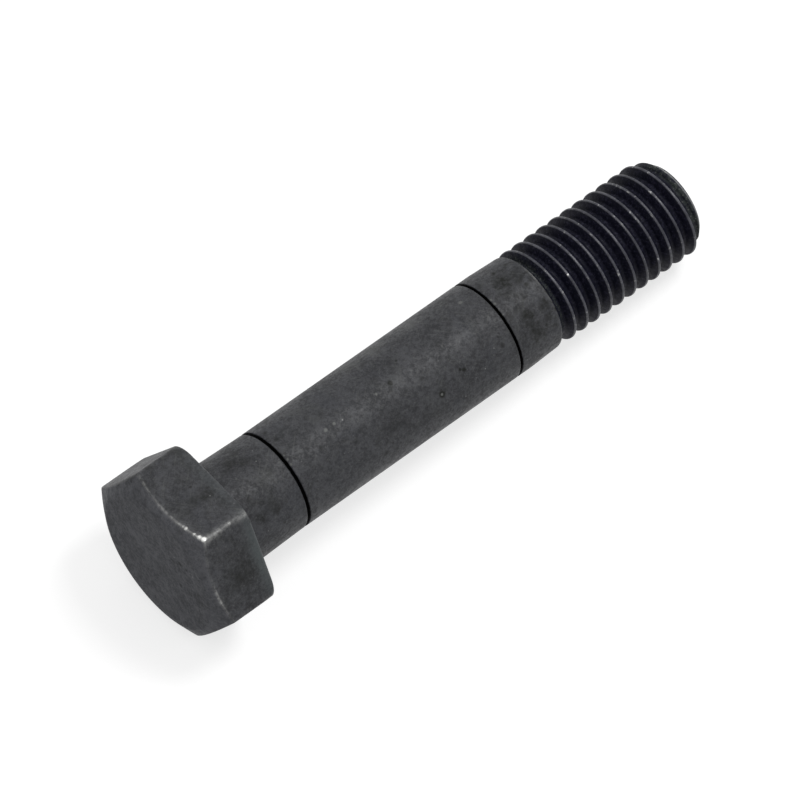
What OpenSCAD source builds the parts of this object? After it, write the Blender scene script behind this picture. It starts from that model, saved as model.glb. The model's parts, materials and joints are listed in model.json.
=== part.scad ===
// Hexagon-head bolt with two scored rings on its shank and a short right-hand thread.
// It is one forged piece, and it lies as it comes to rest: on one flat of the head and on the tip.
// The origin is the middle of the bearing face under the head. +X runs along the shank to the tip.

/* [Head] */
// Width across two opposite flats
across_flats = 19.15; // [18:0.05:20]
// Height of the head, from the bearing face to the outer face
head_height = 7.6; // [6.5:0.1:9]
// Radius at which the outer face would meet the chamfer
face_radius = 8.6; // [7.6:0.1:8.9]
// Angle of the chamfer that rounds off the six outer corners
chamfer_angle = 31; // [20:1:35]
// Radius that blends the outer face into the chamfer
face_blend = 1.7; // [1:0.1:4]
// Rounding of the flats where they meet the bearing face
edge_round = 0.5; // [0.3:0.1:1.2]
// Rounding of the six upright corners
corner_round = 0.36; // [0.2:0.02:0.8]

/* [Shank] */
// Diameter of the plain shank
shank_diameter = 12; // [11.7:0.05:12.2]
// Length of the plain shank, from the bearing face to the first thread groove
shank_length = 45.4; // [44:0.1:55]
// Diameter of the shank where it leaves the fillet under the head
neck_diameter = 12.4; // [12.25:0.05:12.6]
// Distance from the bearing face over which the neck runs down to the shank diameter
neck_length = 8; // [6:0.2:8.2]
// Radius of the fillet under the head
neck_fillet = 0.8; // [0.4:0.1:1]
// Length over which the shank narrows towards the thread
end_taper = 4.3; // [3:0.1:5]
// How much smaller the radius is at the end of that taper
end_drop = 0.16; // [0.1:0.02:0.25]
// Rounding of the shank's end
end_round = 0.45; // [0.3:0.05:0.5]

/* [Scored rings] */
// Distance of the first ring from the bearing face
first_ring = 8.75; // [8.6:0.05:12]
// Distance of the second ring from the bearing face
second_ring = 39.2; // [30:0.05:40]
// Width of the first ring at the shank's surface
first_width = 0.46; // [0.2:0.02:0.6]
// Width of the second ring at the shank's surface
second_width = 0.38; // [0.2:0.02:0.6]
// Depth of each ring
ring_depth = 0.32; // [0.1:0.02:0.6]

/* [Thread] */
// Outside diameter of the thread
crest_diameter = 11.84; // [11.6:0.02:11.9]
// Diameter at the bottom of the thread
root_diameter = 9.9; // [9.7:0.05:10]
// Diameter of the flat tip, inside its chamfer
tip_diameter = 9.2; // [8.8:0.05:9.9]
// Distance from one turn to the next
pitch = 1.75; // [1.5:0.05:2]
// Length of the thread, with the tip's chamfer
thread_length = 20.9; // [18:0.1:30]
// Where a crest meets the downward line of the head's flat, past the end of the shank
crest_phase = 0.35; // [0:0.05:1.5]
// Steps around each turn
turn_steps = 48; // [36:12:60]

/* [Hidden] */

oxide_grey = [0.27, 0.28, 0.29];
round_steps = 96;
shank_r = shank_diameter / 2;
neck_r = neck_diameter / 2;
root_r = root_diameter / 2;
tip_r = tip_diameter / 2;
crest_r = crest_diameter / 2;
corner_r = across_flats / sqrt(3);
overlap = 1;

// The rounding of an upright corner is cut as facets, each leaning to one side of the corner's direction
corner_leans = [-20, -10, 0, 10, 20];
corner_centre = (across_flats / 2 - corner_round) / cos(30);
corner_cuts = [for (turn = [30, 90, 150], lean = corner_leans)
    [turn + lean, corner_centre * cos(lean) + corner_round]];

// The end of the shank is turned round to this radius, and the thread starts just inside it
shoulder_r = shank_r - end_drop - end_round;
thread_start_r = shoulder_r - 0.05;
thread_end = shank_length + thread_length;

// A sixty-degree thread: the flat crest is an eighth of the pitch, and each flank leans by 30 degrees
crest_flat = pitch / 8;
flank_run = (crest_r - root_r) * tan(30);
run_out_slope = 1.2;

// Rest: the floor touches the rounded edge of the lowest flat and the last full crest before the tip's chamfer
last_crest = thread_end - (crest_r - tip_r);
rest_drop = across_flats / 2 - edge_round - crest_r;
rest_reach = last_crest + edge_round;
rest_tilt = atan(rest_drop / rest_reach) + asin(edge_round / norm([rest_drop, rest_reach]));

// Points of an arc about a centre, between two angles
function arc(centre, radius, from, to, steps) =
    [for (i = [0:steps]) let (a = from + (to - from) * i / steps)
        centre + radius * [cos(a), sin(a)]];

// Profile of one scored ring, a narrow V
function ring_notch(at, width) =
    [[shank_r, at - width / 2], [shank_r - ring_depth, at], [shank_r, at + width / 2]];

// Side view of the head between two opposite flats, with rounded corners at the bearing face
module flat_pair() {
    half = across_flats / 2;
    rotate([90, 0, 0])
        linear_extrude(height = 3 * across_flats, center = true) {
            translate([-half, -head_height - overlap])
                square([across_flats, head_height + overlap - edge_round]);
            translate([-half + edge_round, -head_height - overlap])
                square([across_flats - 2 * edge_round, head_height + overlap]);
            for (side = [-1, 1])
                translate([side * (half - edge_round), -edge_round])
                    circle(r = edge_round, $fn = round_steps);
        }
}

// Turned outline of the head: the outer face, its soft blend and the chamfer across the corners
module head_turning() {
    blend_start = face_radius - face_blend * tan(chamfer_angle / 2);
    reach = corner_r + overlap;
    rotate_extrude($fn = round_steps)
        polygon(concat(
            [[0, -head_height]],
            arc([blend_start, face_blend - head_height], face_blend, -90, chamfer_angle - 90, 5),
            [[reach, (reach - face_radius) * tan(chamfer_angle) - head_height],
             [reach, overlap],
             [0, overlap]]));
}

// Hexagon head, its three pairs of flats and its rounded corners cut to the turned outline
module head() {
    intersection() {
        intersection_for (turn = [0, 60, 120])
            rotate(turn) flat_pair();
        intersection_for (cut = corner_cuts)
            rotate(cut[0]) cube([2 * cut[1], 3 * across_flats, 4 * head_height], center = true);
        head_turning();
    }
}

// Plain shank with the fillet and swell under the head, the scored rings and the narrowed end
module shank() {
    rotate_extrude($fn = round_steps)
        polygon(concat(
            [[0, -overlap], [neck_r + neck_fillet, -overlap]],
            arc([neck_r + neck_fillet, neck_fillet], neck_fillet, 270, 180, 4),
            [[shank_r, neck_length]],
            ring_notch(first_ring, first_width),
            ring_notch(second_ring, second_width),
            [[shank_r, shank_length - end_taper]],
            arc([shoulder_r, shank_length - end_round], end_round, 0, 90, 4),
            [[0, shank_length]]));
}

// The ridge in one pitch: how far each of its four edges lies from the crest's middle, and its radius
ridge = [
    [-crest_flat / 2 - flank_run, root_r],
    [-crest_flat / 2, crest_r],
    [crest_flat / 2, crest_r],
    [crest_flat / 2 + flank_run, root_r]
];
edges = len(ridge);
rows = edges * ceil(thread_length / pitch + 3);
snap = 0.4 * pitch / turn_steps;

// Height of a ridge edge at a step of its turn, with the first rows before the thread's start
function edge_height(row, step) =
    shank_length + crest_phase + ridge[row % edges][0]
    + pitch * (floor(row / edges) - 2 + step / turn_steps);

// Radius of a ridge edge, held in by the run-out at the shank and by the chamfer at the tip
function edge_radius(row, height) =
    let (past = height - shank_length,
         highest = min(thread_start_r + past * run_out_slope, tip_r + thread_end - height),
         lowest = thread_start_r - past * run_out_slope)
    min(max(ridge[row % edges][1], lowest), highest);

// Number of the point at a row and step. Past either end it is the point of that end's ring, so the rows
// close on a flat ring, and the last step of a turn is the first step of the next one.
function point_at(row, step) =
    step == turn_steps ? point_at(row + edges, 0)
    : edge_height(row, step) < shank_length + snap ? step
    : edge_height(row, step) > thread_end - snap ? turn_steps + step
    : 2 + (row + 2) * turn_steps + step;

function polar(radius, step, height) =
    let (a = 360 * step / turn_steps) [radius * cos(a), radius * sin(a), height];

// Right-hand thread, one closed surface whose rows of points follow the helix
module thread() {
    points = concat(
        [for (step = [0:turn_steps - 1]) polar(thread_start_r, step, shank_length)],
        [for (step = [0:turn_steps - 1]) polar(tip_r, step, thread_end)],
        [[0, 0, shank_length], [0, 0, thread_end]],
        [for (row = [0:rows - 1], step = [0:turn_steps - 1])
            let (height = min(max(edge_height(row, step), shank_length), thread_end))
            polar(edge_radius(row, height), step, height)]);
    start_middle = 2 * turn_steps;
    end_middle = start_middle + 1;
    sides = [for (row = [0:rows - 2], step = [0:turn_steps - 1])
        let (a = point_at(row, step), b = point_at(row, step + 1),
             c = point_at(row + 1, step + 1), d = point_at(row + 1, step))
        each [[a, d, c], [a, c, b]]];
    caps = [for (step = [0:turn_steps - 1])
        let (next = (step + 1) % turn_steps)
        each [[start_middle, step, next],
              [end_middle, turn_steps + next, turn_steps + step]]];
    polyhedron(points, concat(
        [for (f = sides) if (f[0] != f[1] && f[1] != f[2] && f[2] != f[0]) f], caps));
}

module bolt() {
    color(oxide_grey)
        rotate([0, 90 + rest_tilt, 0]) {
            head();
            shank();
            thread();
        }
}

bolt();
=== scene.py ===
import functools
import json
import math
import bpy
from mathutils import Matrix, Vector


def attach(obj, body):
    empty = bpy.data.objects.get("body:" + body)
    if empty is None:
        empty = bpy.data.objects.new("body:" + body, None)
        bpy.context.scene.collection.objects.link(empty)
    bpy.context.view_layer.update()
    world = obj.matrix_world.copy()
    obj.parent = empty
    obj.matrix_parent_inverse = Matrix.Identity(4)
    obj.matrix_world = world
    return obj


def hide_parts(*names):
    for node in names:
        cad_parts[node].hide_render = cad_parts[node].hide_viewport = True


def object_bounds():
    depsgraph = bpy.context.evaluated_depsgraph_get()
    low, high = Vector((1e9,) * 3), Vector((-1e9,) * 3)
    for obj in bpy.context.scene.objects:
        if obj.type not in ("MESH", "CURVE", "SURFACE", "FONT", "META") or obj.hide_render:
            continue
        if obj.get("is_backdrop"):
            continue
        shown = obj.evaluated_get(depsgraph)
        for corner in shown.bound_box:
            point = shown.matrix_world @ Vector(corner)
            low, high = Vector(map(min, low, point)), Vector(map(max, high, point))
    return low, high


bl_info = {
    "name": "Hexagon Bolt",
    "version": (1, 0, 0),
    "blender": (4, 5, 0),
    "location": "View3D > Sidebar > Bolt",
    "description": "A forged hexagon bolt with scored rings, a helical thread and a worn black oxide finish",
    "category": "Add Mesh",
}

import bpy
import numpy as np
from bpy.props import FloatProperty, FloatVectorProperty, IntProperty, PointerProperty
from mathutils import Matrix, Vector

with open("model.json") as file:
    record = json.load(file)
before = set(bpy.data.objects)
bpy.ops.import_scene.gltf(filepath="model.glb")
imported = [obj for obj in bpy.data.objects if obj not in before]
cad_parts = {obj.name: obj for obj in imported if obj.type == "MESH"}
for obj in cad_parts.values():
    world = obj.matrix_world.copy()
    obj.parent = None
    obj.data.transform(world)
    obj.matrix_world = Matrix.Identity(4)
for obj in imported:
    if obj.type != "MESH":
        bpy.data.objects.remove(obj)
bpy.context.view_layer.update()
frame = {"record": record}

NODE = "bolt"
PIECE = "bolt_black_oxide"
BAKE_MAP = "OFBake"
MILLIMETRE = 0.001
SIDES = 6
SECTOR = math.tau / SIDES
BUMP_HEIGHT = 0.03 * MILLIMETRE

# The stage, in metres: half the floor's side, each lamp's side and place, and where the lamps aim
FLOOR_HALF = 1.6
LAMPS = {"key": (0.4, (0.56, -0.16, 1.07)), "fill": (0.6, (-0.35, 0.8, 0.6))}
LAMP_TARGET = Vector((0.03, 0.0, 0.0))

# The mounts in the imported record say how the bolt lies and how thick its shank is
MOUNTS = {mount["name"]: mount for mount in frame["record"]["mounts"]}
BOLT_AXIS = MOUNTS["bearing_face"]["axis"]
REST_TILT = math.atan2(-BOLT_AXIS[2], BOLT_AXIS[0])
SHANK_RADIUS = MOUNTS["shank"]["dims"]["r_mm"] * MILLIMETRE


def length(name, about, millimetres):
    """A length that the panel shows. It is written in millimetres and kept in metres."""
    return FloatProperty(name=name, description=about, default=millimetres * MILLIMETRE,
                         min=0.0, subtype="DISTANCE", unit="LENGTH", precision=5)


def turn(name, about, degrees):
    """An angle that the panel shows. It is written in degrees and kept in radians."""
    return FloatProperty(name=name, description=about, default=math.radians(degrees),
                         subtype="ANGLE", unit="ROTATION")


def share(name, about, value, highest=1.0):
    """A plain factor that the panel shows."""
    return FloatProperty(name=name, description=about, default=value, min=0.0, max=highest, subtype="FACTOR")


def colour(name, about, *value):
    """A linear colour that the panel shows."""
    return FloatVectorProperty(name=name, description=about, default=value, size=3,
                               min=0.0, max=1.0, subtype="COLOR")


# Sizes

class BoltHeadSizes(bpy.types.PropertyGroup):
    """Sizes of the hexagon head"""
    across_flats: length("Across flats", "Width across two opposite flats", 19.15)
    height: length("Height", "From the bearing face to the outer face", 7.6)
    face_radius: length("Face radius", "Where the outer face would meet the chamfer", 8.6)
    chamfer: turn("Chamfer", "Angle of the cone that rounds off the outer corners", 31.0)
    face_blend: length("Face blend", "Radius that blends the outer face into the chamfer", 1.7)
    corner_round: length("Corner rounding", "Radius of the six upright corners", 0.36)
    rim_round: length("Rim rounding", "Worn rounding between the chamfer and the flats", 0.26)
    bearing_round: length("Bearing rounding", "Rounding of the flats at the bearing face", 0.5)
    corner_wear: length("Corner wear", "Extra radius of the upright corners at the bearing face", 2.4)


class BoltShankSizes(bpy.types.PropertyGroup):
    """Sizes of the plain shank"""
    radius: length("Radius", "Radius of the plain shank", SHANK_RADIUS / MILLIMETRE)
    length: length("Length", "From the bearing face to the first thread groove", 45.4)
    neck_radius: length("Neck radius", "Radius just under the head", 6.2)
    neck_length: length("Neck length", "Over which the neck runs down to the shank", 8.0)
    fillet: length("Fillet", "Fillet radius under the head", 0.8)
    end_taper: length("End taper", "Length over which the shank narrows", 4.3)
    end_drop: length("End drop", "How much smaller the radius is after the taper", 0.16)
    end_round: length("End rounding", "Rounding of the shank's end", 0.45)
    first_ring: length("First ring", "Distance of the first scored ring", 8.75)
    first_width: length("First ring's width", "Width at the shank's surface", 0.46)
    second_ring: length("Second ring", "Distance of the second scored ring", 39.2)
    second_width: length("Second ring's width", "Width at the shank's surface", 0.38)
    ring_depth: length("Ring depth", "Depth of a scored ring", 0.32)


class BoltThreadSizes(bpy.types.PropertyGroup):
    """Sizes of the thread"""
    crest_radius: length("Crest radius", "Outer radius of the thread", 5.92)
    root_radius: length("Root radius", "Radius at the bottom of the thread", 4.95)
    pitch: length("Pitch", "From one turn to the next", 1.75)
    length: length("Length", "Length of the thread with the tip's chamfer", 20.9)
    tip_radius: length("Tip radius", "Radius of the flat tip inside its chamfer", 4.6)
    crest_phase: length("Crest phase", "Where a crest meets the downward line", 0.35)
    crest_round: length("Crest rounding", "Worn rounding of the crest's two edges", 0.07)
    root_round: length("Root rounding", "Rounding at the bottom of the thread", 0.26)
    tip_round: length("Tip rounding", "Rounding where the chamfer meets the tip's face", 0.12)
    run_out: share("Run-out slope", "Rise of the first groove per unit of length", 1.2, 3.0)
    columns: IntProperty(name="Columns", description="Steps round the bolt", default=240, min=60, max=480)


class BoltFinish(bpy.types.PropertyGroup):
    """Colours and gloss of the black oxide"""
    oxide_gloss: share("Oxide gloss", "Specular level of the flats and the shank", 0.18)
    face_gloss: share("Face gloss", "Specular level of the outer face and its cone", 0.03)
    score_gloss: share("Score gloss", "Specular level of the scored rings", 0.01)
    thread_gloss: share("Thread gloss", "Specular level of the thread and the tip", 0.05)
    crest_gloss: share("Crest gloss", "Specular level of the rubbed crest", 0.38)
    oxide_dark: colour("Dark oxide", "Darker patches of the plain surfaces", 0.0225, 0.0230, 0.0254)
    oxide_light: colour("Light oxide", "Lighter patches of the plain surfaces", 0.0550, 0.0563, 0.0616)
    oxide_cool: colour("Cool tint", "Blue patches", 0.036, 0.039, 0.049)
    oxide_olive: colour("Olive tint", "Olive patches", 0.041, 0.044, 0.039)
    face_oxide: colour("Face oxide", "Dull oxide on the outer face and its cone", 0.120, 0.122, 0.133)
    # The fold tone is a painted pale teal reflection on the rounding at the bearing face
    painted_fold_tone: colour("Fold oxide", "Paler oxide on the rounding at the bearing face", 0.062, 0.072, 0.074)
    # This dark colour paints stains, pits and blots of dirt, and also painted shade on and under the head
    stain: colour("Stain", "Dark olive stains and pits", 0.0050, 0.0056, 0.0044)
    # The rubbed colour also paints glints, and the pale reflection along the top of the shank
    rubbed: colour("Rubbed oxide", "Thin grey-olive oxide where things rubbed", 0.105, 0.108, 0.104)
    steel: colour("Steel", "Metal that shows at worn edges", 0.70, 0.70, 0.68)
    thread_black: colour("Thread black", "Flanks and bottom of the thread", 0.0044, 0.0046, 0.0104)
    thread_sheen: colour("Thread sheen", "Fine violet speckle on the flanks", 0.0210, 0.0200, 0.0370)
    thread_grey: colour("Thread grey", "Dry oxide at the run-out and the tip", 0.030, 0.035, 0.034)
    crest: colour("Crest", "Line where the thread's crest is rubbed", 0.060, 0.061, 0.076)
    score_black: colour("Score black", "Bottom of the scored rings", 0.0012, 0.0012, 0.0012)


class BoltStudio(bpy.types.PropertyGroup):
    """Floor, lights and camera"""
    floor: colour("Floor", "Colour of the floor", 0.42, 0.42, 0.42)
    glow: share("Floor glow", "Light of its own that the floor shows to the camera", 0.69, 1.0)
    surround: share("Surround", "Strength of the even light from all sides", 0.60, 4.0)
    key: FloatProperty(name="Key light", description="Power of the soft main light", default=7.0,
                       min=0.0, unit="POWER")
    fill: FloatProperty(name="Fill light", description="Power of the soft light from the other side",
                        default=0.5, min=0.0, unit="POWER")
    azimuth: turn("Azimuth", "Where the camera stands round the bolt", -41.843)
    elevation: turn("Elevation", "How steeply the camera looks down", 59.322)
    roll: turn("Roll", "Lean of the camera", -1.116)
    distance: length("Distance", "From the camera to its aim point", 1279.15)
    aim: FloatVectorProperty(name="Aim", description="Point at the middle of the picture", size=3,
                             default=(0.02556, -0.001443, 0.0), subtype="XYZ", unit="LENGTH")
    lens: FloatProperty(name="Lens", description="Focal length on a sensor 36 mm wide", default=533.02,
                        min=50.0, unit="CAMERA")


# Wear on edges: the angle round the bolt and the reach, in degrees, and the strength. The rest of the rim
# is rubbed by RIM_REST, and a dulled corner is rounder than the others.
RIM_REST = 0.05
RIM_RUBS = (
    (206.5, 4, 1), (198, 3.5, 0.75), (193, 11, 0.44), (174, 14, 0.3), (156, 6, 0.14), (222, 9, 0.08),
    (240, 6, 0.12), (246, 4, 0.26), (254, 4, 0.36), (264, 7, 0.19), (30, 4, 0.7), (16, 9, 0.3),
    (90, 5, 0.4), (60, 14, 0.2), (112, 9, 0.2), (330, 5, 0.6), (306, 12, 0.25))
CORNER_RUBS = ((210, 9, 0.34), (150, 9, 0.06), (270, 9, 0.08), (330, 9, 0.4), (30, 9, 0.35), (90, 9, 0.25))
# Painted sheen on the fold at the bearing face, in the same columns: a pale reflection painted into the
# colour
FOLD_SHEEN_STRENGTHS = ((240, 30, 1), (180, 28, 0.35), (120, 30, 0.5), (60, 30, 0.4), (0, 30, 0.6), (300, 30, 0.5))
END_RUBS = ((186, 15, 1), (214, 9, 0.6), (40, 30, 0.6), (300, 25, 0.8))
DULLED = ((135, 24, 1),)

# Grime and painted shade by millimetres along the bolt: most under the head, where it is mostly painted
# shade on the head and the neck, and beside the thread, where it was handled
GRIME_AND_SHADE = (
    (-7.6, 0.3), (-6.2, 0.45), (0, 0.6), (1, 0.7), (5.5, 0.6), (8, 0.08), (38, 0.08), (40.5, 0.9),
    (42.5, 1.25), (44.8, 1.3), (45.2, 2.2))

# Marks: millimetres along the bolt, degrees round it, millimetres of reach, and the strength. A mark on
# the head ends with its distance from the axis, in millimetres.
# Dark stains. The marks on the head between 129 and 156 degrees also paint shade onto that flat.
STAINS_AND_SHADE = (
    (42.1, 169, 1.5, 1), (41.7, 201, 0.6, 0.5), (41.8, 215, 0.9, 1), (41.4, 223, 0.8, 0.8),
    (42.1, 239, 1.7, 1), (44.5, 167.5, 0.9, 0.8), (44.1, 230, 0.7, 0.8), (44.2, 217, 1, 0.8),
    (28.5, 232.5, 0.6, 0.6), (4.1, 160, 1.4, 0.7), (5.2, 168, 0.9, 0.7), (2.7, 207, 0.9, 0.5),
    (3, 230.5, 0.9, 0.9), (5, 232.5, 0.6, 0.8), (22, 227, 1.6, 0.3), (33, 60, 1.1, 0.6),
    (12, 350, 1.3, 0.5),
    (-2.1, 187.4, 1.3, 0.75, 9.65), (-3.9, 185, 1.2, 0.5, 9.6), (-3.3, 245.4, 2.7, 0.75, 9.6),
    (-2.4, 230, 1.6, 0.45, 9.75), (-7.6, 260, 1.6, 0.4, 7), (-6.9, 129, 0.9, 0.5, 9.8),
    (-6.6, 142, 1, 0.6, 10.2), (-4.7, 150.5, 0.8, 0.5, 11), (-6.6, 156, 0.7, 0.5, 10.5),
    (-2.7, 150, 1, 0.5, 11), (-1, 149, 0.9, 0.5, 10.9))
PITS = (
    (43.9, 188, 0.46, 0.9), (42.3, 153, 0.42, 0.95), (37.5, 226.6, 0.42, 0.6), (24.05, 191, 0.36, 1.8),
    (9.7, 153, 0.36, 0.7), (9.9, 169.7, 0.4, 0.6), (13.1, 204.7, 0.4, 0.4), (17, 221, 0.5, 0.4),
    (27.3, 206, 0.38, 0.6), (32.1, 224, 0.36, 1.3), (31.7, 221.5, 0.26, 1.1), (19.8, 253.5, 0.4, 0.6),
    (28.5, 232.5, 0.56, 1.3),
    (-7.6, 221, 0.45, 0.6, 5.4), (-7.6, 228, 0.3, 0.5, 6.2), (-7.6, 262, 0.5, 0.2, 1.8),
    (-7.6, 268, 0.38, 0.35, 3.9), (-7.6, 266, 0.6, 0.3, 5.4), (-7.6, 215, 0.4, 0.35, 4))
# Pale scuffs. The first three, along the top of the shank, are a painted pale reflection.
SCUFF_AND_REFLECTION_MARKS = (
    (22.5, 138, 1.6, 0.3), (26, 139, 2, 0.34), (31, 139, 1.8, 0.34), (6.1, 197.4, 1.3, 0.2),
    (28.5, 232.5, 0.19, 1.2), (3.2, 180.7, 0.24, 0.8), (14.75, 192.4, 0.24, 1.2), (16, 192, 0.24, 1),
    (22, 192.2, 0.22, 1), (36.9, 160.5, 0.27, 0.9), (8.24, 192, 0.2, 0.6), (9.14, 189, 0.2, 0.7),
    (9.15, 195, 0.2, 0.7), (9.14, 201, 0.17, 0.6), (39.53, 180, 0.2, 0.8), (39.5, 186, 0.2, 0.7),
    (39.46, 193, 0.18, 0.7), (39.46, 200, 0.18, 0.6), (20, 20, 1.6, 0.3), (34, 330, 1.4, 0.3),
    (0.1, 210.5, 0.55, 0.55, 11.1))
BARE = (
    (-5.95, 209, 0.36, 1, 10.95), (-6.22, 206.5, 0.36, 0.9, 10.65), (-6.38, 203.5, 0.26, 0.7, 10.4),
    (-6.6, 197.8, 0.26, 0.7, 10.05), (-6.68, 195.5, 0.22, 0.5, 9.95), (-2.6, 209.8, 0.34, 0.3, 11),
    (-6.95, 250, 0.24, 0.35, 9.75), (-6.95, 255, 0.22, 0.35, 9.9))

# How much is added to a dulled corner's rounding, how much paler the cone is painted than the outer face, as
# painted light that evens out its darker shading, how far down an upright corner its extra wear starts, and
# the share of it that is reached at the fold
DULLING = 1.8
CONE_PAINTED_LIGHT = 1.35
WEAR_START = 0.6
WEAR_AT_FOLD = 0.4

# Closer than this to its end, a row of the helix is joined to the ring there
SNAP = 0.012 * MILLIMETRE


# Form of the bolt, worked out as whole arrays. A row is one step along the outline, from the middle of
# the outer face to the middle of the tip, and a column is one angle round the axis.

def column_angles(count):
    """Angles round the bolt, gathered at the head's six corners: within 30 degrees of a corner, the
    angle is 30 degrees times (g t + (1 - g) t cubed), where t runs evenly from -1 to 1."""
    gather = 0.26
    per_corner = count // SIDES
    t = -1 + 2 * np.arange(per_corner) / per_corner
    within = SECTOR / 2 * (gather * t + (1 - gather) * t**3)
    corners = SECTOR / 2 + SECTOR * np.arange(SIDES)
    return (corners[:, None] + within).ravel()


def hexagon_radius(angle, apothem, rounding):
    """Distance from the axis to a hexagon with rounded corners. On a flat it is the apothem over the
    cosine of the angle from the flat's middle. Near a corner it is where the ray meets its circle."""
    from_flat = np.abs((angle + SECTOR / 2) % SECTOR - SECTOR / 2)
    from_corner = SECTOR / 2 - from_flat
    centre = (apothem - rounding) / math.cos(SECTOR / 2)
    flat = apothem / np.cos(from_flat)
    inside = np.maximum(rounding**2 - (centre * np.sin(from_corner))**2, 0)
    corner = centre * np.cos(from_corner) + np.sqrt(inside)
    on_corner = np.tan(from_flat) * apothem > (apothem - rounding) * math.tan(SECTOR / 2)
    return np.where(on_corner, corner, flat)


def steps(start, stop, count):
    """Even steps as a column, without the first value and with the last one."""
    return (start + (stop - start) * np.arange(1, count + 1) / count)[:, None]


def rows_at(*shares):
    """Rows given as a column, closer together where the outline bends."""
    return np.array(shares)[:, None]


def fade(value, start, end):
    """0 at the start, 1 at the end, straight between them and held beyond them."""
    return np.clip((value - start) / (end - start), 0, 1)


def stack_rows(angle, parts):
    """The rows of an outline's parts, one part after the other. Each value that the parts give, such as
    the radius, becomes an array with a column for each angle."""
    full = [np.broadcast_arrays(angle, *part)[1:] for part in parts]
    return [np.concatenate(value) for value in zip(*full)]


def rubs_along(angle, rubs):
    """Strength of the rubbing at each angle: the strongest of a few places, each of which fades as e to
    the minus square of the way from it over its reach."""
    strength = np.zeros_like(angle)
    for place, reach, peak in rubs:
        away = (np.degrees(angle) - place + 180) % 360 - 180
        strength = np.maximum(strength, peak * np.exp(-(away / reach)**2))
    return strength


def head_form(head, shank, angle):
    """Radius, height and shares of wear, outer face and painted fold sheen of the head. In each column the
    outline runs along the outer face, a soft blend, the cone, the worn rim, the flat, the rounding at the
    bearing face and the bearing face, which is the seat. Its round stretches are arcs of circles."""
    slope = math.tan(head.chamfer)
    apothem = head.across_flats / 2
    dulled = 1 + DULLING * rubs_along(angle, DULLED)
    corner_round = head.corner_round * dulled
    rim_round = head.rim_round * dulled
    outline = hexagon_radius(angle, apothem, corner_round)
    blend_start = head.face_radius - head.face_blend * math.tan(head.chamfer / 2)
    lean = steps(0, head.chamfer, 6)
    blend_radius = blend_start + head.face_blend * np.sin(lean)

    # The rim's height follows the cone, which the flats cut in six arcs
    rim = -head.height + (outline - head.face_radius) * slope
    rim_middle = rim + rim_round * math.tan((math.pi / 2 - head.chamfer) / 2)
    swing = steps(head.chamfer - math.pi / 2, 0, 8)
    cone_end = outline - rim_round * (1 - math.sin(head.chamfer))
    cone_radius = blend_radius[-1] + (cone_end - blend_radius[-1]) * rows_at(0.12, 0.5, 0.88, 1)

    # The upright corners are worn rounder towards the bearing face
    down = rows_at(0.02, 0.1, 0.45, 0.72, 0.86, 0.94, 1)
    side_wear = WEAR_AT_FOLD * fade(down, WEAR_START, 1)**2
    side_radius = hexagon_radius(angle, apothem, corner_round + head.corner_wear * side_wear)
    fold = steps(0, math.pi / 2, 8)
    fold_wear = WEAR_AT_FOLD + (1 - WEAR_AT_FOLD) * np.sin(fold)
    inset = head.bearing_round * (1 - np.cos(fold))
    fold_radius = hexagon_radius(angle, apothem - inset, corner_round + head.corner_wear * fold_wear)
    to_fillet = shank.neck_radius + shank.fillet - fold_radius[-1]
    parts = {
        "face": (blend_start * rows_at(0.1, 0.25, 0.42, 0.6, 0.78, 0.94, 1), -head.height),
        "blend": (blend_radius, -head.height + head.face_blend * (1 - np.cos(lean))),
        "cone": (cone_radius, -head.height + (cone_radius - head.face_radius) * slope),
        "rim": (outline - rim_round * (1 - np.cos(swing)), rim_middle + rim_round * np.sin(swing)),
        "side": (side_radius, rim_middle + (-head.bearing_round - rim_middle) * down),
        "fold": (fold_radius, head.bearing_round * (np.sin(fold) - 1)),
        "seat": (fold_radius[-1] + to_fillet * rows_at(0.04, 0.3, 0.7, 0.96, 1), 0.0)}
    radius, height = stack_rows(angle, parts.values())
    first_row = dict(zip(parts, np.cumsum([0] + [len(part[0]) for part in parts.values()])))

    # Wear: a thin line along the rim and down the upright corners, stronger at the places named above
    rim_line = np.exp(-((height - (rim + 0.25 * head.rim_round)) / (0.55 * head.rim_round))**2)
    worn = rim_line * (radius > outline - rim_round) * (RIM_REST + rubs_along(angle, RIM_RUBS))
    from_corner = np.abs(angle % SECTOR - SECTOR / 2) * apothem
    corner_line = np.exp(-(from_corner / head.corner_round)**2) * rubs_along(angle, CORNER_RUBS)
    corner_line = corner_line * (0.7 + 0.3 * fade(height, rim, rim + head.height))
    sides = slice(first_row["side"], first_row["seat"] - 3)
    worn[sides] = np.maximum(worn, corner_line)[sides]

    # The dull oxide of the face ends on the rim, and the cone gets more of it, as painted light that evens
    # out its darker shading. The painted sheen of the fold begins three rows above the rounding.
    on_face = np.zeros_like(radius)
    on_face[:first_row["rim"] + 2] = 1
    on_face[first_row["blend"] + 3:first_row["rim"] + 1] = CONE_PAINTED_LIGHT
    on_fold = np.zeros_like(radius)
    on_fold[first_row["fold"] - 3:first_row["seat"]] = rubs_along(angle, FOLD_SHEEN_STRENGTHS)
    on_fold[first_row["fold"] - 3] *= 0.4
    return radius, height, worn, on_face, on_fold


def ring_form(shank, at, width):
    """Radius, height and depth of one scored ring: a narrow V with softened lips, the same on both sides."""
    out = np.array([0.06, 0.225, 0.46, 0.575, 0.8])
    cut = np.array([1, 0.62, 0.12, 0.015, 0])
    along = rows_at(*-out[::-1], *out)
    depth = rows_at(*cut[::-1], *cut)
    return shank.radius - depth * shank.ring_depth, at + along * width, depth


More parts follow.
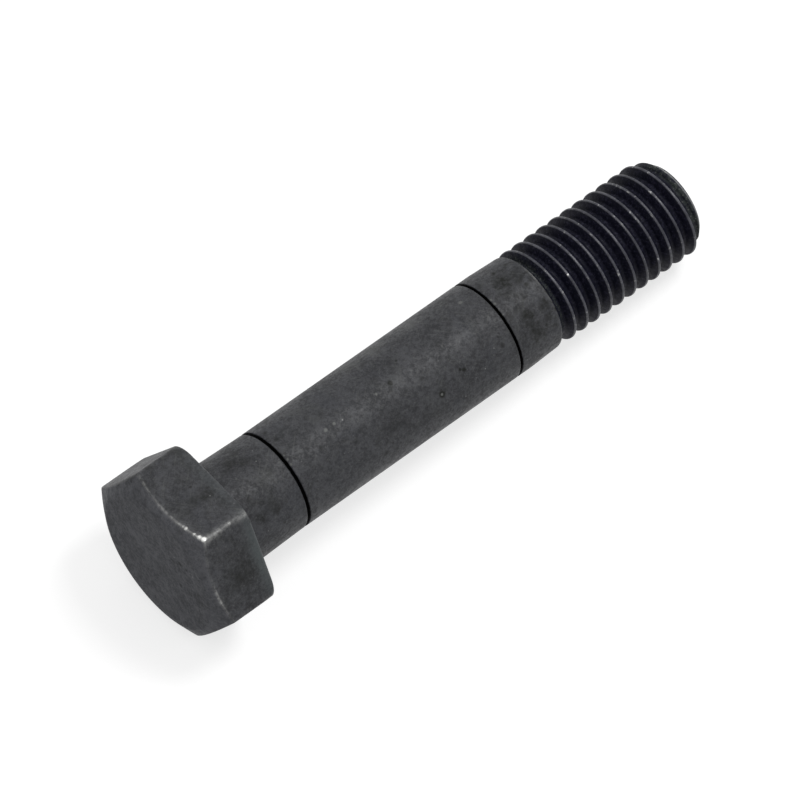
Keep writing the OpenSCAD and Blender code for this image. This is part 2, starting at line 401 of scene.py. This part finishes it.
def shank_form(shank, angle):
    """Radius, height, scored depth and wear of the shank: the fillet, the neck that runs down to the plain
    cylinder, the two rings, the narrowed end and its rounding."""
    swing = steps(math.radians(270), math.radians(180), 6)
    along = steps(0, 1, 6)
    close = steps(0, math.pi / 2, 6)
    taper_start = shank.length - shank.end_taper
    taper_end = shank.length - shank.end_round
    shoulder = shank.radius - shank.end_drop - shank.end_round
    past_ring = 1.0 * MILLIMETRE
    before_taper = 0.8 * MILLIMETRE
    middle = np.linspace(shank.first_ring + past_ring, shank.second_ring - past_ring, 15)
    after = np.linspace(shank.second_ring + before_taper, taper_start, 3)
    radius, height, score = stack_rows(angle, [
        (shank.neck_radius + shank.fillet * (1 + np.cos(swing)), shank.fillet * (1 + np.sin(swing)), 0.0),
        (shank.neck_radius + (shank.radius - shank.neck_radius) * along,
         shank.fillet + (shank.neck_length - shank.fillet) * along, 0.0),
        ring_form(shank, shank.first_ring, shank.first_width),
        (shank.radius, middle[:, None], 0.0),
        ring_form(shank, shank.second_ring, shank.second_width),
        (shank.radius, after[:, None], 0.0),
        (shank.radius - shank.end_drop * along, taper_start + (taper_end - taper_start) * along, 0.0),
        (shoulder + shank.end_round * np.cos(close), taper_end + shank.end_round * np.sin(close), 0.0)])
    worn = np.zeros_like(radius)
    worn[-len(close):-2] = rows_at(0.12, 0.24, 0.24, 0.12) * rubs_along(angle, END_RUBS)
    return radius, height, score, worn


def thread_profile(thread):
    """Offsets from a crest's middle and radii over one pitch: a flat crest with worn edges, two flanks
    that lean by 30 degrees and a rounded bottom. It is symmetric about the crest."""
    lean = math.radians(30)
    crest_half = thread.pitch / 16
    depth = thread.crest_radius - thread.root_radius
    run = depth * math.tan(lean)
    half_turn = math.tan((math.pi / 2 - lean) / 2)

    # Both roundings are circles that touch the flank and the flat beside it
    swing = np.linspace(0, math.pi / 2 - lean, 4)
    crest_offset = crest_half - thread.crest_round * half_turn + thread.crest_round * np.sin(swing)
    crest_drop = thread.crest_round * (1 - np.cos(swing))
    root_middle = min(crest_half + run + thread.root_round * half_turn, thread.pitch / 2)
    root_offset = root_middle - thread.root_round * np.sin(swing[::-1])
    root_drop = depth - thread.root_round * (1 - np.cos(swing[::-1]))
    flank = np.array([0.06, 0.94])
    flank_offset = crest_offset[-1] + (root_offset[0] - crest_offset[-1]) * flank
    flank_drop = crest_drop[-1] + (root_drop[0] - crest_drop[-1]) * flank
    offset = np.concatenate([crest_offset, flank_offset, root_offset])
    ridge = thread.crest_radius - np.concatenate([crest_drop, flank_drop, root_drop])
    return np.concatenate([-offset[::-1], offset]), np.concatenate([ridge[::-1], ridge])


def thread_form(thread, shank, angle):
    """Radius, height and depth below the crest for rows that follow the helix, and how many rows a pitch
    has. A row's height is its offset plus the pitch times the share of the turn, so its last column is the
    first column of the row one pitch on. Rows start two turns before the thread, go on past its end and
    are held at both. The run-out at the shank and the chamfer at the tip limit the radius."""
    offset, ridge = thread_profile(thread)
    turns = math.ceil(thread.length / thread.pitch) + 4
    start = shank.length
    end = start + thread.length
    row_offset = np.tile(offset, turns) + thread.pitch * np.repeat(np.arange(turns) - 2, offset.size)
    row_radius = np.tile(ridge, turns)[:, None]
    height = start + thread.crest_phase + row_offset[:, None] + thread.pitch * angle / math.tau
    height = np.clip(height, start, end)
    past = height - start
    shoulder = shank.radius - shank.end_drop - shank.end_round
    highest = np.minimum(shoulder + past * thread.run_out, thread.tip_radius + end - height)
    lowest = shoulder - past * thread.run_out
    radius = np.minimum(np.maximum(row_radius, lowest), highest)
    depth = (thread.crest_radius - row_radius) / (thread.crest_radius - thread.root_radius)
    return radius, height, np.broadcast_to(depth, height.shape), offset.size


def tip_form(thread, end, angle):
    """Radius and height of the tip, from the end of the chamfer over its small rounding to the flat face."""
    swing = np.linspace(math.radians(45), math.radians(90), 5)[:, None]
    centre = thread.tip_radius - thread.tip_round * math.tan(math.radians(22.5))
    return stack_rows(angle, [
        (centre + thread.tip_round * np.cos(swing), end - thread.tip_round * (1 - np.sin(swing))),
        (centre * rows_at(0.9, 0.6, 0.3, 0.1), end)])


def dry_share(thread, shank, height):
    """Share of dry grey oxide on the thread, with its places in pitches: in the first groove at the shank,
    and on the last turn, less so on the tip's chamfer and face."""
    past = (height - shank.length) / thread.pitch
    from_end = thread.length / thread.pitch - past
    groove_middle = 0.29
    first_groove = 0.8 * fade(np.abs(past - groove_middle), 0.168, 0.056)
    last_turn = fade(from_end, 0.85, 0.6) * fade(from_end, -0.105, 0.195)
    return np.maximum(last_turn, first_groove)


def length_share(radius, height):
    """How far along an outline each of its rows lies, as a share of the outline's whole length."""
    step = np.hypot(np.diff(radius), np.diff(height))
    return np.append(0, np.cumsum(step)) / step.sum()


def grid_faces(ids):
    """Two triangles for each cell of a grid of vertex numbers. Each corner has its number, row and column.
    A triangle with two corners at one vertex is left out."""
    row, column = np.indices((ids.shape[0] - 1, ids.shape[1] - 1))
    halves = []
    for corners in (((0, 0), (0, 1), (1, 1)), ((0, 0), (1, 1), (1, 0))):
        rows = np.stack([(row + down).ravel() for down, _ in corners], 1)
        columns = np.stack([(column + right).ravel() for _, right in corners], 1)
        halves.append(np.stack([ids[rows, columns], rows, columns], 2))
    made = np.concatenate(halves)
    first, second, third = made[:, :, 0].T
    return made[(first != second) & (second != third) & (third != first)]


def lay_out(head, shank, thread):
    """The whole bolt as one closed mesh: vertex places in the row frame, the triangles of its four blocks,
    their places in the baking map and the values that the finish reads."""
    angle = column_angles(thread.columns)
    end = shank.length + thread.length
    head_radius, head_height, worn, on_face, on_fold = head_form(head, shank, angle)
    shank_radius, shank_height, score, end_worn = shank_form(shank, angle)
    turned_radius = np.concatenate([head_radius, shank_radius])
    turned_height = np.concatenate([head_height, shank_height])
    plain = np.zeros_like(score)
    turned = {"worn_edge": (worn, end_worn), "score": (np.zeros_like(worn), score),
              "on_face": (on_face, plain), "on_fold": (on_fold, plain)}
    helix_radius, helix_height, crest_depth, per_pitch = thread_form(thread, shank, angle)
    tip_radius, tip_height = tip_form(thread, end, angle)

    # Numbers of the vertices: the turned rows, the rows of the helix, the rows of the tip, two poles
    helix_first = turned_radius.size
    tip_first = helix_first + helix_radius.size
    poles = tip_first + tip_radius.size
    turned_ids = np.arange(helix_first).reshape(turned_radius.shape)
    helix_ids = np.arange(helix_first, tip_first).reshape(helix_radius.shape)
    tip_ids = np.arange(tip_first, poles).reshape(tip_radius.shape)

    # A helix row that has not begun is the shank's last ring, and one that has ended is the tip's ring
    helix_ids = np.where(helix_height < shank.length + SNAP, turned_ids[-1], helix_ids)
    helix_ids = np.where(helix_height > tip_height[0] - SNAP, tip_ids[0], helix_ids)
    helix_ids = np.hstack([helix_ids[:-per_pitch], helix_ids[per_pitch:, :1]])
    turned_ids, tip_ids = (np.hstack([ids, ids[:, :1]]) for ids in (turned_ids, tip_ids))
    head_rows = len(head_radius)
    face_middle = np.full((1, angle.size + 1), poles)
    blocks = [grid_faces(np.vstack([face_middle, turned_ids[:head_rows]])),
              grid_faces(turned_ids[head_rows - 1:]),
              grid_faces(helix_ids),
              grid_faces(np.vstack([tip_ids, face_middle + 1]))]
    shares = [length_share(np.append(0, head_radius.mean(1)), np.append(-head.height, head_height.mean(1))),
              length_share(turned_radius[head_rows - 1:].mean(1), turned_height[head_rows - 1:].mean(1)),
              length_share(helix_radius[:-per_pitch].max(1), helix_height[:-per_pitch, 0]),
              length_share(np.append(tip_radius[:, 0], 0), np.append(tip_height[:, 0], end))]
    uv = bake_places(blocks, shares, np.append(angle, math.tau) / math.tau)

    radius = np.concatenate([turned_radius.ravel(), helix_radius.ravel(), tip_radius.ravel(), [0, 0]])
    height = np.concatenate([turned_height.ravel(), helix_height.ravel(), tip_height.ravel(),
                             [-head.height, end]])
    around = np.append(np.tile(angle, poles // angle.size), [0, 0])
    rest = np.zeros(radius.size - helix_first)
    values = {key: np.concatenate([*map(np.ravel, pair), rest]) for key, pair in turned.items()}
    values["on_face"][poles] = 1
    values["dry"] = dry_share(thread, shank, height)
    values["grime"] = np.interp(height / MILLIMETRE, *zip(*GRIME_AND_SHADE))
    values["crest_depth"] = np.ones(radius.size)
    values["crest_depth"][helix_first:tip_first] = crest_depth.ravel()
    return lying(radius, around, height), blocks, uv, values


def lying(radius, around, height):
    """Places in the row frame of the bolt as it lies: the bolt's own axis becomes X, its zero angle
    points down, and both are turned by the rest tilt about Y."""
    down = radius * np.cos(around)
    side = radius * np.sin(around)
    c, s = math.cos(REST_TILT), math.sin(REST_TILT)
    return np.stack([height * c - down * s, side, -height * s - down * c], -1)


def bake_places(blocks, shares, around):
    """Each block of the grid unrolled by its true lengths into its own part of the baking map: the head
    along the top, the shank, thread and tip side by side below it, with a gap between them."""
    gap = 0.012
    spans = [(0.0, 1.0, 0.64, 1.0), (0.0, 0.53, 0.0, 0.62), (0.55, 0.95, 0.0, 0.62), (0.962, 1.0, 0.0, 0.62)]
    made = []
    for at, (block, share_of, (left, right, low, high)) in enumerate(zip(blocks, shares, spans)):
        rows, columns = share_of[block[:, :, 1]], around[block[:, :, 2]]
        u, v = (columns, rows) if at == 0 else (rows, columns)
        made.append(np.stack([left + gap / 2 + (right - left - gap) * u,
                              low + gap / 2 + (high - low - gap) * v], 2))
    return np.concatenate(made)


def fill_mesh(name, places, triangles, uv, slots, values):
    """A mesh from whole arrays. Vertices that no triangle uses are left out."""
    used, renumbered = np.unique(triangles, return_inverse=True)
    corners = renumbered.reshape(-1)
    mesh = bpy.data.meshes.new(name)
    mesh.vertices.add(used.size)
    mesh.vertices.foreach_set("co", places[used].astype(np.float32).ravel())
    mesh.loops.add(corners.size)
    mesh.loops.foreach_set("vertex_index", corners.astype(np.int32))
    mesh.polygons.add(corners.size // 3)
    mesh.polygons.foreach_set("loop_start", np.arange(0, corners.size, 3, dtype=np.int32))
    mesh.polygons.foreach_set("material_index", slots.astype(np.int32))
    mesh.uv_layers.new(name=BAKE_MAP).uv.foreach_set("vector", uv.astype(np.float32).ravel())
    for key, value in values.items():
        attribute = mesh.attributes.new(key, "FLOAT", "POINT")
        attribute.data.foreach_set("value", value[used].astype(np.float32))
    mesh.update(calc_edges=True)
    mesh.validate()
    mesh.shade_smooth()
    return mesh


# Finish. The scale of a noise is in waves to a metre.

class Shading:
    """The nodes of one material or node group. What goes into an input may be a number, a colour, a place
    or the output of another node. Textures read the tree's own vector unless another is given."""

    def __init__(self, tree, vector=None):
        self.tree = tree
        self.vector = vector

    def feed(self, socket, value):
        """Links an output to an input, or sets the input to a number, colour or place."""
        if isinstance(value, bpy.types.NodeSocket):
            self.tree.links.new(value, socket)
        elif isinstance(value, (int, float)):
            socket.default_value = value
        else:
            socket.default_value = (*value, 1.0)[:len(socket.default_value)]

    def add(self, kind, inputs, **settings):
        """The outputs of a new node with its settings and with what goes into its inputs."""
        node = self.tree.nodes.new("ShaderNode" + kind)
        for key, value in settings.items():
            setattr(node, key, value)
        for key, value in inputs.items():
            self.feed(node.inputs[key], value)
        return node.outputs

    def noise(self, scale, detail, roughness=0.55, distortion=0.0, vector=None):
        """A noise texture's value."""
        return self.add("TexNoise", {"Vector": vector or self.vector, "Scale": scale, "Detail": detail,
                                     "Roughness": roughness, "Distortion": distortion})["Fac"]

    def ramp(self, value, low, high, out_low=0.0, out_high=1.0):
        """A value taken from one range to another, held at both ends with a soft step."""
        return self.add("MapRange", {"Value": value, "From Min": low, "From Max": high, "To Min": out_low,
                                     "To Max": out_high}, interpolation_type="SMOOTHSTEP")["Result"]

    def reckon(self, operation, *values):
        """One step of arithmetic."""
        return self.add("Math", dict(enumerate(values)), operation=operation)["Value"]

    def times(self, *values):
        """All the values multiplied."""
        return functools.reduce(functools.partial(self.reckon, "MULTIPLY"), values)

    def most(self, *values):
        """The greatest of the values."""
        return functools.reduce(functools.partial(self.reckon, "MAXIMUM"), values)

    def coats(self, tone, *coats):
        """Coats laid over a tone in turn. Each is a mask and a colour."""
        for mask, coat in coats:
            tone = self.add("Mix", {0: mask, 6: tone, 7: coat}, data_type="RGBA")[2]
        return tone

    def group(self, group, **inputs):
        """The outputs of a node group placed in this tree."""
        return self.add("Group", {"Vector": self.vector, **inputs}, node_tree=group)

    def stored(self, name):
        """A value stored on the piece's vertices."""
        return self.add("Attribute", {}, attribute_type="GEOMETRY", attribute_name=name)["Fac"]

    def marks(self, group, marks, ragged):
        """The strongest of several marks, each set out along the bolt and round it."""
        made = []
        for along, degrees, reach, strength, *out in marks:
            radius = out[0] * MILLIMETRE if out else SHANK_RADIUS
            place = lying(radius, math.radians(degrees), along * MILLIMETRE)
            made.append(self.group(group, Place=place, Reach=reach * MILLIMETRE, Strength=strength,
                                   Ragged=ragged)["Mark"])
        return self.most(*made)


def new_group(name, inputs, outputs):
    """A node group that reads a vector: its nodes, what its inputs bring and where its results go. Inputs
    and outputs are given by name and kind."""
    group = bpy.data.node_groups.new(name, "ShaderNodeTree")
    for direction, sockets in (("INPUT", {"Vector": "Vector", **inputs}), ("OUTPUT", outputs)):
        for label, kind in sockets.items():
            group.interface.new_socket(name=label, in_out=direction, socket_type="NodeSocket" + kind)
    source = group.nodes.new("NodeGroupInput").outputs
    return Shading(group, source["Vector"]), source, group.nodes.new("NodeGroupOutput").inputs


def mottle_group():
    """Cloudy oxide. Four noises, from patches some millimetres wide down to a fine grain, choose a place
    between dark and light. Two slower noises add the cool and the olive tints."""
    shade, source, result = new_group(
        "mottled oxide",
        {"Dark": "Color", "Light": "Color", "Cool": "Color", "Olive": "Color", "Tint": "Float"},
        {"Color": "Color", "Cloud": "Float"})
    cloud = 0.0
    for scale, detail, weight in ((240, 2, 0.16), (1000, 2, 0.24), (2600, 3, 0.38), (6500, 1, 0.22)):
        cloud = shade.reckon("MULTIPLY_ADD", shade.noise(scale, detail, 0.6, 0.2), weight, cloud)
    tone = shade.coats(source["Dark"], (shade.ramp(cloud, 0.38, 0.62), source["Light"]))
    for label, scale, low in (("Cool", 190, 0.52), ("Olive", 330, 0.54)):
        area = shade.ramp(shade.noise(scale, 3, 0.6, 0.6), low, low + 0.14)
        tone = shade.coats(tone, (shade.times(area, source["Tint"]), source[label]))
    shade.feed(result["Color"], tone)
    shade.feed(result["Cloud"], cloud)
    return shade.tree


def scratch_group():
    """Faint fine scratches two ways: a noise drawn out along a line, of which only the peaks are kept."""
    shade, _, result = new_group("fine scratches", {}, {"Scratch": "Float"})
    total = 0.0
    for degrees in (42, -48):
        drawn = shade.add("Mapping", {"Vector": shade.vector, "Rotation": (0, 0, math.radians(degrees)),
                                      "Scale": (22, 1, 1)}, vector_type="TEXTURE")["Vector"]
        line = shade.noise(4200, 2, 0.5, vector=drawn)
        total = shade.reckon("ADD", shade.ramp(line, 0.58, 0.72), total)
    shade.feed(result["Scratch"], total)
    return shade.tree


def mark_group():
    """One mark: full near its place and fading out at its reach, with an edge that a noise breaks up."""
    shade, source, result = new_group(
        "mark", {"Place": "Vector", "Reach": "Float", "Strength": "Float", "Ragged": "Float"},
        {"Mark": "Float"})
    apart = shade.add("VectorMath", {0: shade.vector, 1: source["Place"]}, operation="DISTANCE")["Value"]
    away = shade.reckon("ADD", shade.reckon("DIVIDE", apart, source["Reach"]), source["Ragged"])
    shade.feed(result["Mark"], shade.times(shade.ramp(away, 1.1, 0.2), source["Strength"]))
    return shade.tree


def speck_group():
    """Small dark pits and a few bright rubbed specks: the cells of a fine Voronoi pattern, of which a
    slow noise keeps only some."""
    shade, source, result = new_group("pits and specks", {"Pits": "Float", "Specks": "Float"},
                                      {"Pit": "Float", "Speck": "Float"})
    for label, amount, scale, offset, reach in (("Pit", "Pits", 900, 0.0, 0.22),
                                                ("Speck", "Specks", 1500, 0.7, 0.16)):
        moved = shade.add("VectorMath", {0: shade.vector, 1: [offset] * 3}, operation="ADD")["Vector"]
        cells = shade.add("TexVoronoi", {"Vector": moved, "Scale": scale})
        spot = shade.ramp(cells["Distance"], reach, reach * 0.4)
        chosen = shade.ramp(shade.add("SeparateColor", {"Color": cells["Color"]})["Red"], 0.80, 0.95)
        area = shade.ramp(shade.noise(240, 2, vector=moved), 0.45, 0.62)
        shade.feed(result[label], shade.times(spot, chosen, area, source[amount]))
    return shade.tree


def wear_group():
    """Rubbed edge: the edge's own mask, broken up by two noises so that it brightens and fades."""
    shade, source, result = new_group("rubbed edge", {"Mask": "Float"}, {"Rubbed": "Float"})
    slow = shade.ramp(shade.noise(360, 2), 0.36, 0.64, 0.3, 1.0)
    quick = shade.ramp(shade.noise(2000, 3, 0.7), 0.34, 0.62, 0.25, 1.0)
    shade.feed(result["Rubbed"], shade.times(slow, quick, source["Mask"]))
    return shade.tree


def new_material(name, gloss):
    """A material with an even specular level, its nodes, which read the object's own coordinates, and the
    inputs of its Principled shader."""
    material = bpy.data.materials.new(name)
    material.use_nodes = True
    tree = material.node_tree
    shader = tree.nodes["Principled BSDF"].inputs
    shader["Specular IOR Level"].default_value = gloss
    return material, Shading(tree, tree.nodes.new("ShaderNodeTexCoord").outputs["Object"]), shader


def add_bump(shade, shader, height, strength):
    """A fine bump that feeds the shader's normal."""
    bump = shade.add("Bump", {"Height": height, "Distance": BUMP_HEIGHT, "Strength": strength})
    shade.feed(shader["Normal"], bump["Normal"])


def plain_oxide(name, gloss, finish, groups):
    """Black oxide on the head and the shank. From below to above: the mottled oxide, the paler face with its
    cone painted paler still as painted light, the painted sheen of the fold, scratches and painted glints,
    blots of dirt and painted shade, stains (some of them painted shade) and pits, scuffed patches and a
    painted reflection, bare metal and the dark scored rings."""
    material, shade, shader = new_material(name, gloss)
    mottled = shade.group(groups["mottle"], Dark=finish.oxide_dark, Light=finish.oxide_light,
                          Cool=finish.oxide_cool, Olive=finish.oxide_olive, Tint=0.16)
    specks = shade.group(groups["specks"], Pits=0.8, Specks=0.6)
    scratches = shade.group(groups["scratches"])["Scratch"]
    rubbed = shade.group(groups["wear"], Mask=shade.stored("worn_edge"))["Rubbed"]
    cloud = mottled["Cloud"]
    ragged = shade.reckon("SUBTRACT", shade.noise(1500, 3, 0.65), 0.5)
    wide_ragged = shade.times(ragged, 2.2)
    broken = shade.ramp(shade.noise(2000, 3, 0.6), 0.36, 0.64, 0.45, 1.05)
    # Stains, some of them painted shade on the head
    stains = shade.times(shade.marks(groups["mark"], STAINS_AND_SHADE, wide_ragged), broken)
    pits = shade.marks(groups["mark"], PITS, ragged)
    # Scuffs, and along the top of the shank a painted reflection
    scuffs_and_reflection = shade.marks(groups["mark"], SCUFF_AND_REFLECTION_MARKS, wide_ragged)
    bare = shade.marks(groups["mark"], BARE, wide_ragged)

    # On the cone the face share is larger: painted light that evens out the cone's darker shading
    paler = shade.times(shade.stored("on_face"), shade.ramp(cloud, 0.40, 0.60, 0.42, 0.70))
    # Painted sheen: the fold at the bearing face is painted paler, as a reflection
    fold = shade.times(shade.stored("on_fold"), 0.85)
    # Painted glints: small lighter specks in the colour
    glints = shade.ramp(shade.noise(3200, 1), 0.62, 0.76)
    light = shade.times(shade.most(scratches, glints), 0.22)
    # Blots of dirt near the thread, and painted shade on the head and under it on the neck
    blots = shade.ramp(shade.noise(620, 4, 0.62, 0.3), 0.48, 0.68)
    blots = shade.times(blots, shade.stored("grime"), 0.6)
    dark = shade.most(stains, blots, specks["Pit"], pits)
    bright = shade.most(rubbed, shade.times(specks["Speck"], 0.4), bare)
    score = shade.ramp(shade.reckon("MULTIPLY_ADD", ragged, 0.5, shade.stored("score")), 0.10, 0.24)
    tone = shade.coats(mottled["Color"], (paler, finish.face_oxide), (fold, finish.painted_fold_tone),
                       (light, finish.rubbed), (dark, finish.stain), (scuffs_and_reflection, finish.rubbed),
                       (bright, finish.steel), (score, finish.score_black))
    roughness = shade.ramp(cloud, 0.40, 0.60, 0.60, 0.44)
    shade.feed(shader["Base Color"], tone)
    shade.feed(shader["Metallic"], shade.times(bright, 0.7))
    shade.feed(shader["Roughness"], shade.reckon("MULTIPLY_ADD", glints, -0.10, roughness))
    add_bump(shade, shader, shade.reckon("SUBTRACT", shade.noise(2600, 4, 0.6), specks["Pit"]), 0.45)
    return material


def thread_oxide(name, gloss, finish, groups):
    """Oily black oxide in the thread with a fine violet speckle, dry grey oxide at the run-out, the chamfer
    and the tip with painted glints on it, and rubbed crests with a few bright sparks."""
    material, shade, shader = new_material(name, gloss)
    specks = shade.group(groups["specks"], Pits=0.0, Specks=0.8)
    crest = shade.ramp(shade.stored("crest_depth"), 0.14, 0.0)
    rubbed = shade.group(groups["wear"], Mask=crest)["Rubbed"]
    grain = shade.noise(3000, 4, 0.8)
    cloud = shade.noise(1500, 4, 0.65, 0.3)
    sheen = shade.ramp(grain, 0.48, 0.66)
    dry = shade.times(shade.most(shade.stored("dry"), 0.06), shade.ramp(cloud, 0.36, 0.62, 0.15, 1.0))
    # Painted glints: lighter specks on the dry oxide
    glints = shade.times(shade.ramp(shade.noise(4200, 1), 0.56, 0.70), dry)
    glints = shade.most(glints, shade.times(specks["Speck"], 0.5))
    spark = shade.times(shade.ramp(shade.noise(1900, 2), 0.60, 0.72), rubbed, 0.6)
    tone = shade.coats(finish.thread_black, (sheen, finish.thread_sheen), (dry, finish.thread_grey),
                       (glints, finish.rubbed), (rubbed, finish.crest), (spark, finish.steel))
    shade.feed(shader["Base Color"], tone)
    shade.feed(shader["Metallic"], spark)
    shade.feed(shader["Roughness"], shade.ramp(cloud, 0.38, 0.62, 0.50, 0.38))
    add_bump(shade, shader, grain, 0.35)
    return material


def finish_slots(blocks, triangles, values):
    """Number of each triangle's material: 0 on the flats and the shank, 1 on the outer face and its cone,
    2 in the scored rings, 3 on the thread and the tip, 4 on the rubbed crest."""
    on_thread = np.concatenate([np.full(len(block), at >= 2) for at, block in enumerate(blocks)])
    face = values["on_face"][triangles].min(axis=1) > 0.5
    scored = values["score"][triangles].max(axis=1) > 0.1
    crest = values["crest_depth"][triangles].max(axis=1) < 0.1
    return np.select([face, scored, crest, on_thread], [1, 2, 4, 3], 0)


def add_object(name, data):
    """A new object in the scene, at the origin and unturned."""
    made = bpy.data.objects.new(name, data)
    bpy.context.scene.collection.objects.link(made)
    return made


class MESH_OT_bolt_piece(bpy.types.Operator):
    """Make the bolt: one closed piece that stands for the CAD solid"""
    bl_idname = "mesh.bolt_piece"
    bl_label = "Make Bolt"

    def execute(self, context):
        scene = context.scene
        finish = scene.bolt_finish
        places, blocks, uv, values = lay_out(scene.bolt_head, scene.bolt_shank, scene.bolt_thread)
        triangles = np.concatenate(blocks)[:, :, 0]
        slots = finish_slots(blocks, triangles, values)
        mesh = fill_mesh(PIECE, places, triangles, uv, slots, values)
        groups = {"mottle": mottle_group(), "specks": speck_group(), "wear": wear_group(),
                  "scratches": scratch_group(), "mark": mark_group()}
        for make, name, gloss in ((plain_oxide, "black oxide", finish.oxide_gloss),
                                  (plain_oxide, "black oxide face", finish.face_gloss),
                                  (plain_oxide, "scored ring", finish.score_gloss),
                                  (thread_oxide, "black oxide thread", finish.thread_gloss),
                                  (thread_oxide, "rubbed crest", finish.crest_gloss)):
            mesh.materials.append(make(name, gloss, finish, groups))
        piece = add_object(PIECE, mesh)
        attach(piece, "root")
        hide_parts(NODE)
        return {"FINISHED"}


# Stage

def camera_ray(shade):
    """1 for rays that show a surface to the camera, in gloss or through glass, and 0 for light."""
    path = shade.add("LightPath", {})
    return shade.most(path["Is Camera Ray"], path["Is Glossy Ray"], path["Is Transmission Ray"])


def add_floor(studio, height):
    """A wide pale floor under the bolt. Seen from the camera it gets a little light of its own, so that
    it reads white beside the shadow."""
    mesh = bpy.data.meshes.new("floor")
    corners = [(x * FLOOR_HALF, y * FLOOR_HALF, height) for x, y in ((-1, -1), (1, -1), (1, 1), (-1, 1))]
    mesh.from_pydata(corners, [], [(0, 1, 2, 3)])
    material = bpy.data.materials.new("pale floor")
    material.use_nodes = True
    material.node_tree.nodes.clear()
    shade = Shading(material.node_tree)
    diffuse = shade.add("BsdfDiffuse", {"Color": studio.floor})["BSDF"]
    glow = shade.add("Emission", {"Strength": shade.times(camera_ray(shade), studio.glow)})["Emission"]
    shade.add("OutputMaterial", {"Surface": shade.add("AddShader", {0: diffuse, 1: glow})["Shader"]})
    mesh.materials.append(material)
    add_object("floor", mesh)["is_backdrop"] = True


def add_lamp(name, power, size, place):
    """A square soft light that faces the bolt."""
    lamp = bpy.data.lights.new(name, "AREA")
    lamp.shape = "SQUARE"
    lamp.size = size
    lamp.energy = power
    made = add_object(name, lamp)
    made.location = place
    made.rotation_euler = (LAMP_TARGET - Vector(place)).to_track_quat("-Z", "Y").to_euler()


def set_world(studio):
    """Even light from all sides, which is plain white where the camera or a reflection sees it."""
    world = bpy.data.worlds.new("studio")
    world.use_nodes = True
    shade = Shading(world.node_tree)
    background = world.node_tree.nodes["Background"].inputs
    strength = shade.add("MapRange", {"Value": camera_ray(shade), "To Min": studio.surround, "To Max": 1.0})
    shade.feed(background["Color"], (1.0, 1.0, 1.0))
    shade.feed(background["Strength"], strength["Result"])
    bpy.context.scene.world = world


def add_camera(studio):
    """The camera stands off from its aim point by azimuth and elevation, and leans by its roll."""
    data = bpy.data.cameras.new("camera")
    data.sensor_width = 36.0
    data.lens = studio.lens
    data.clip_start = 0.05
    data.clip_end = 20.0
    a, e = studio.azimuth, studio.elevation
    back = Vector((math.sin(a) * math.cos(e), -math.cos(a) * math.cos(e), math.sin(e)))
    upright = (-back).to_track_quat("-Z", "Y").to_matrix().to_4x4()
    lean = Matrix.Rotation(-studio.roll, 4, "Z")
    camera = add_object("camera", data)
    camera.matrix_world = Matrix.Translation(Vector(studio.aim) + back * studio.distance) @ upright @ lean
    bpy.context.scene.camera = camera


class SCENE_OT_bolt_stage(bpy.types.Operator):
    """Set the floor, the lights, the world and the camera"""
    bl_idname = "scene.bolt_stage"
    bl_label = "Set Stage"

    def execute(self, context):
        studio = context.scene.bolt_studio
        add_floor(studio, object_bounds()[0].z)
        set_world(studio)
        for name, (size, place) in LAMPS.items():
            add_lamp(name, getattr(studio, name), size, place)
        add_camera(studio)
        context.scene.view_settings.view_transform = "Standard"
        return {"FINISHED"}


class VIEW3D_PT_bolt(bpy.types.Panel):
    """Sidebar panel with the bolt's operators, sizes, finish and stage"""
    bl_label = "Hexagon Bolt"
    bl_idname = "VIEW3D_PT_bolt"
    bl_space_type = "VIEW_3D"
    bl_region_type = "UI"
    bl_category = "Bolt"

    def draw(self, context):
        layout = self.layout
        layout.operator(MESH_OT_bolt_piece.bl_idname)
        layout.operator(SCENE_OT_bolt_stage.bl_idname)
        for key in GROUPS:
            box = layout.box()
            group = getattr(context.scene, key)
            for name in group.__annotations__:
                box.prop(group, name)


GROUPS = {"bolt_head": BoltHeadSizes, "bolt_shank": BoltShankSizes, "bolt_thread": BoltThreadSizes,
          "bolt_finish": BoltFinish, "bolt_studio": BoltStudio}
CLASSES = (*GROUPS.values(), MESH_OT_bolt_piece, SCENE_OT_bolt_stage, VIEW3D_PT_bolt)


def register():
    for made in CLASSES:
        bpy.utils.register_class(made)
    for key, group in GROUPS.items():
        setattr(bpy.types.Scene, key, PointerProperty(type=group))


def unregister():
    for key in GROUPS:
        delattr(bpy.types.Scene, key)
    for made in reversed(CLASSES):
        bpy.utils.unregister_class(made)


def main():
    register()
    bpy.ops.mesh.bolt_piece()
    bpy.ops.scene.bolt_stage()


if __name__ == "__main__":
    main()
